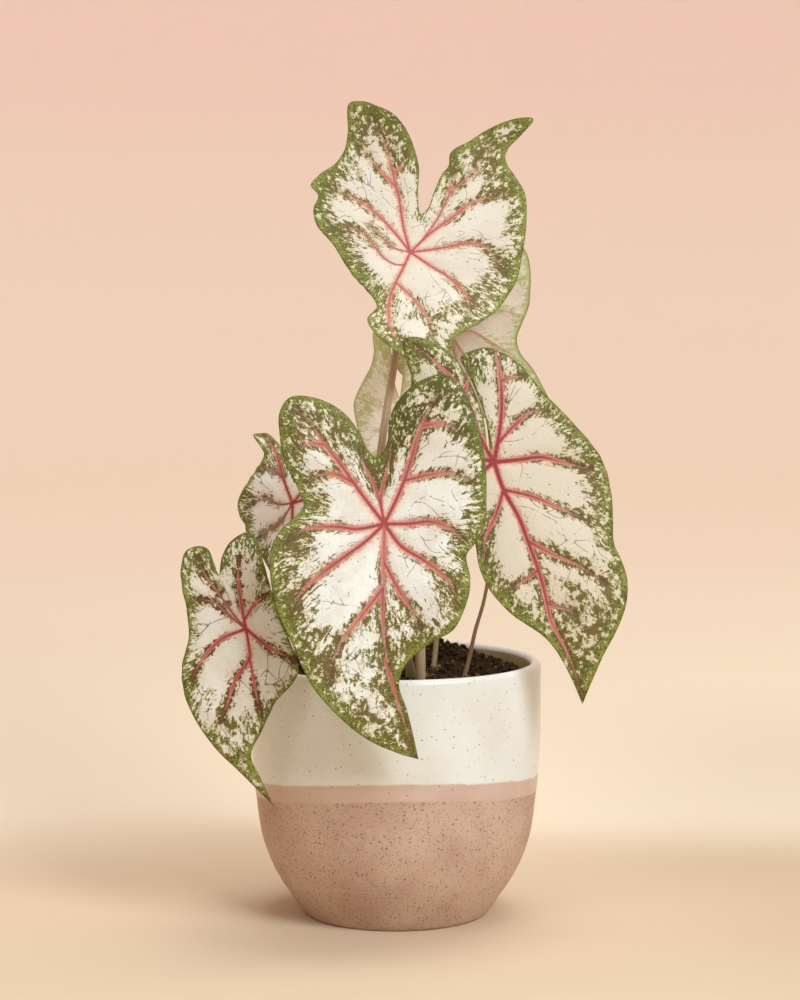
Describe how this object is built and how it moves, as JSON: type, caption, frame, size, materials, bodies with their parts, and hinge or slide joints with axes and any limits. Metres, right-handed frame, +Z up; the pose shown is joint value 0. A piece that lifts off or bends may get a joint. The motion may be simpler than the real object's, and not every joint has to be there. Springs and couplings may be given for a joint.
{
  "type": "potted caladium",
  "caption": "Potted caladium with heart-shaped, red-veined cream and green leaves on thin stalks, in a two-tone glazed pot.",
  "frame": {"origin": "centre of the pot's flat base, on the surface it stands on", "axes": "+Z up along the pot's axis; -Y is the side that the leaves face; +X to the right seen from there"},
  "size_m": [0.2366, 0.2125, 0.45],
  "materials": {
    "pot_glaze": "two-tone: cream speckled glaze above, unglazed pink clay with brown specks below",
    "soil": "matt dark brown potting mix, lumpy",
    "tuber": "matt brown bark-like skin",
    "leaf": "satin; cream with pink-red veins, green edge and flecks",
    "stalk": "satin; brownish pink and olive, streaked lengthwise"
  },
  "bodies": {
    "root": {"pot": "pot_glaze", "soil": "soil", "tuber": "tuber", "blade_front": "leaf", "blade_right": "leaf", "blade_top": "leaf", "blade_low_left": "leaf", "blade_left": "leaf", "blade_back_right": "leaf", "blade_back_left": "leaf", "stalk_front": "stalk", "stalk_right": "stalk", "stalk_top": "stalk", "stalk_low_left": "stalk", "stalk_left": "stalk", "stalk_back_right": "stalk", "stalk_back_left": "stalk"}
  },
  "joints": []
}
